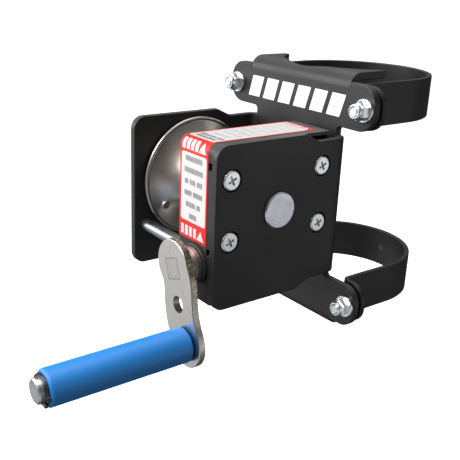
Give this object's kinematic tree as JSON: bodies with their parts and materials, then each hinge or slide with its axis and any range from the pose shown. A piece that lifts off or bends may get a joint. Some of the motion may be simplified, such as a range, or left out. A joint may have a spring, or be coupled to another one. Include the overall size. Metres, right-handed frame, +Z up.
{
  "type": "worm gear net winch",
  "caption": "Post-mounted worm-gear net winch: crank handle with turning grip, dished rope drum, gear housing and two strap clamps for a round pole.",
  "frame": {"origin": "on the axis of the round pole that the winch clamps to, midway in height between its two bands", "axes": "+Z up along the pole; -Y points away from the pole towards the crank; +X points along the drum's axis towards the gear housing"},
  "size_m": [0.1268, 0.2871, 0.1548],
  "materials": {
    "black_powder_coat": "fine-textured satin black powder coat",
    "band_powder_coat": "satin black powder coat",
    "bright_zinc": "bright zinc plating",
    "turned_steel": "turned steel, fine ring marks",
    "drum_steel": "polished stainless steel",
    "stainless_plate": "fine-brushed stainless plate with sheared edges",
    "dark_spring_steel": "phosphated spring steel",
    "bush_bronze": "sintered bronze",
    "wheel_bronze": "machined bronze",
    "black_bush": "black bearing plastic",
    "printed_vinyl": "printed vinyl sticker, red border and white panels",
    "blue_grip": "smooth mid-blue plastic"
  },
  "bodies": {
    "frame": {"bracket": "black_powder_coat", "gear_housing": "black_powder_coat", "housing_posts": "turned_steel", "plate_screws": "bright_zinc", "label": "printed_vinyl", "tie_rod": "bright_zinc", "tie_rod_screws": "bright_zinc", "free_side_bush": "bush_bronze", "housing_bush": "bush_bronze", "worm_front_bush": "black_bush", "worm_rear_bush": "bush_bronze", "clamp_washers": "bright_zinc", "clamp_nuts": "bright_zinc"},
    "drum": {"drum": "drum_steel", "drum_shaft": "turned_steel", "drum_pin": "turned_steel", "rope_anchor_screw": "bright_zinc", "worm_wheel": "wheel_bronze", "wheel_key": "turned_steel", "shaft_spacers": "turned_steel", "shaft_washer": "bright_zinc", "shaft_retaining_ring": "dark_spring_steel"},
    "crank": {"worm_shaft": "turned_steel", "worm_washers": "bright_zinc", "worm_retaining_ring": "dark_spring_steel", "crank_collar": "turned_steel", "crank_arm": "stainless_plate", "grip_pin": "turned_steel", "grip_retaining_ring": "dark_spring_steel"},
    "grip": {"grip": "blue_grip"},
    "upper_band": {"upper_band": "band_powder_coat", "upper_band_bolts": "bright_zinc", "upper_band_rivet": "bright_zinc"},
    "lower_band": {"lower_band": "band_powder_coat", "lower_band_bolts": "bright_zinc", "lower_band_rivet": "bright_zinc"}
  },
  "joints": [
    {"name": "crank_spin", "type": "hinge", "parent": "frame", "child": "crank", "pos_m": [0.024, -0.0955, -0.0235], "axis": [0, 1, 0], "continuous": true},
    {"name": "drum_spin", "type": "hinge", "parent": "frame", "child": "drum", "pos_m": [0, -0.0955, 0.0059], "axis": [1, 0, 0], "continuous": true},
    {"name": "grip_spin", "type": "hinge", "parent": "crank", "child": "grip", "pos_m": [0.03748, -0.19, -0.06286], "axis": [0, 1, 0], "continuous": true},
    {"name": "upper_band_slide", "type": "slide", "parent": "frame", "child": "upper_band", "axis": [0, 1, 0], "range_m": [0, 0.006]},
    {"name": "lower_band_slide", "type": "slide", "parent": "frame", "child": "lower_band", "axis": [0, 1, 0], "range_m": [0, 0.006]}
  ],
  "couplings": [
    {"joint": "drum_spin", "follows": "crank_spin", "ratio": -0.05}
  ]
}
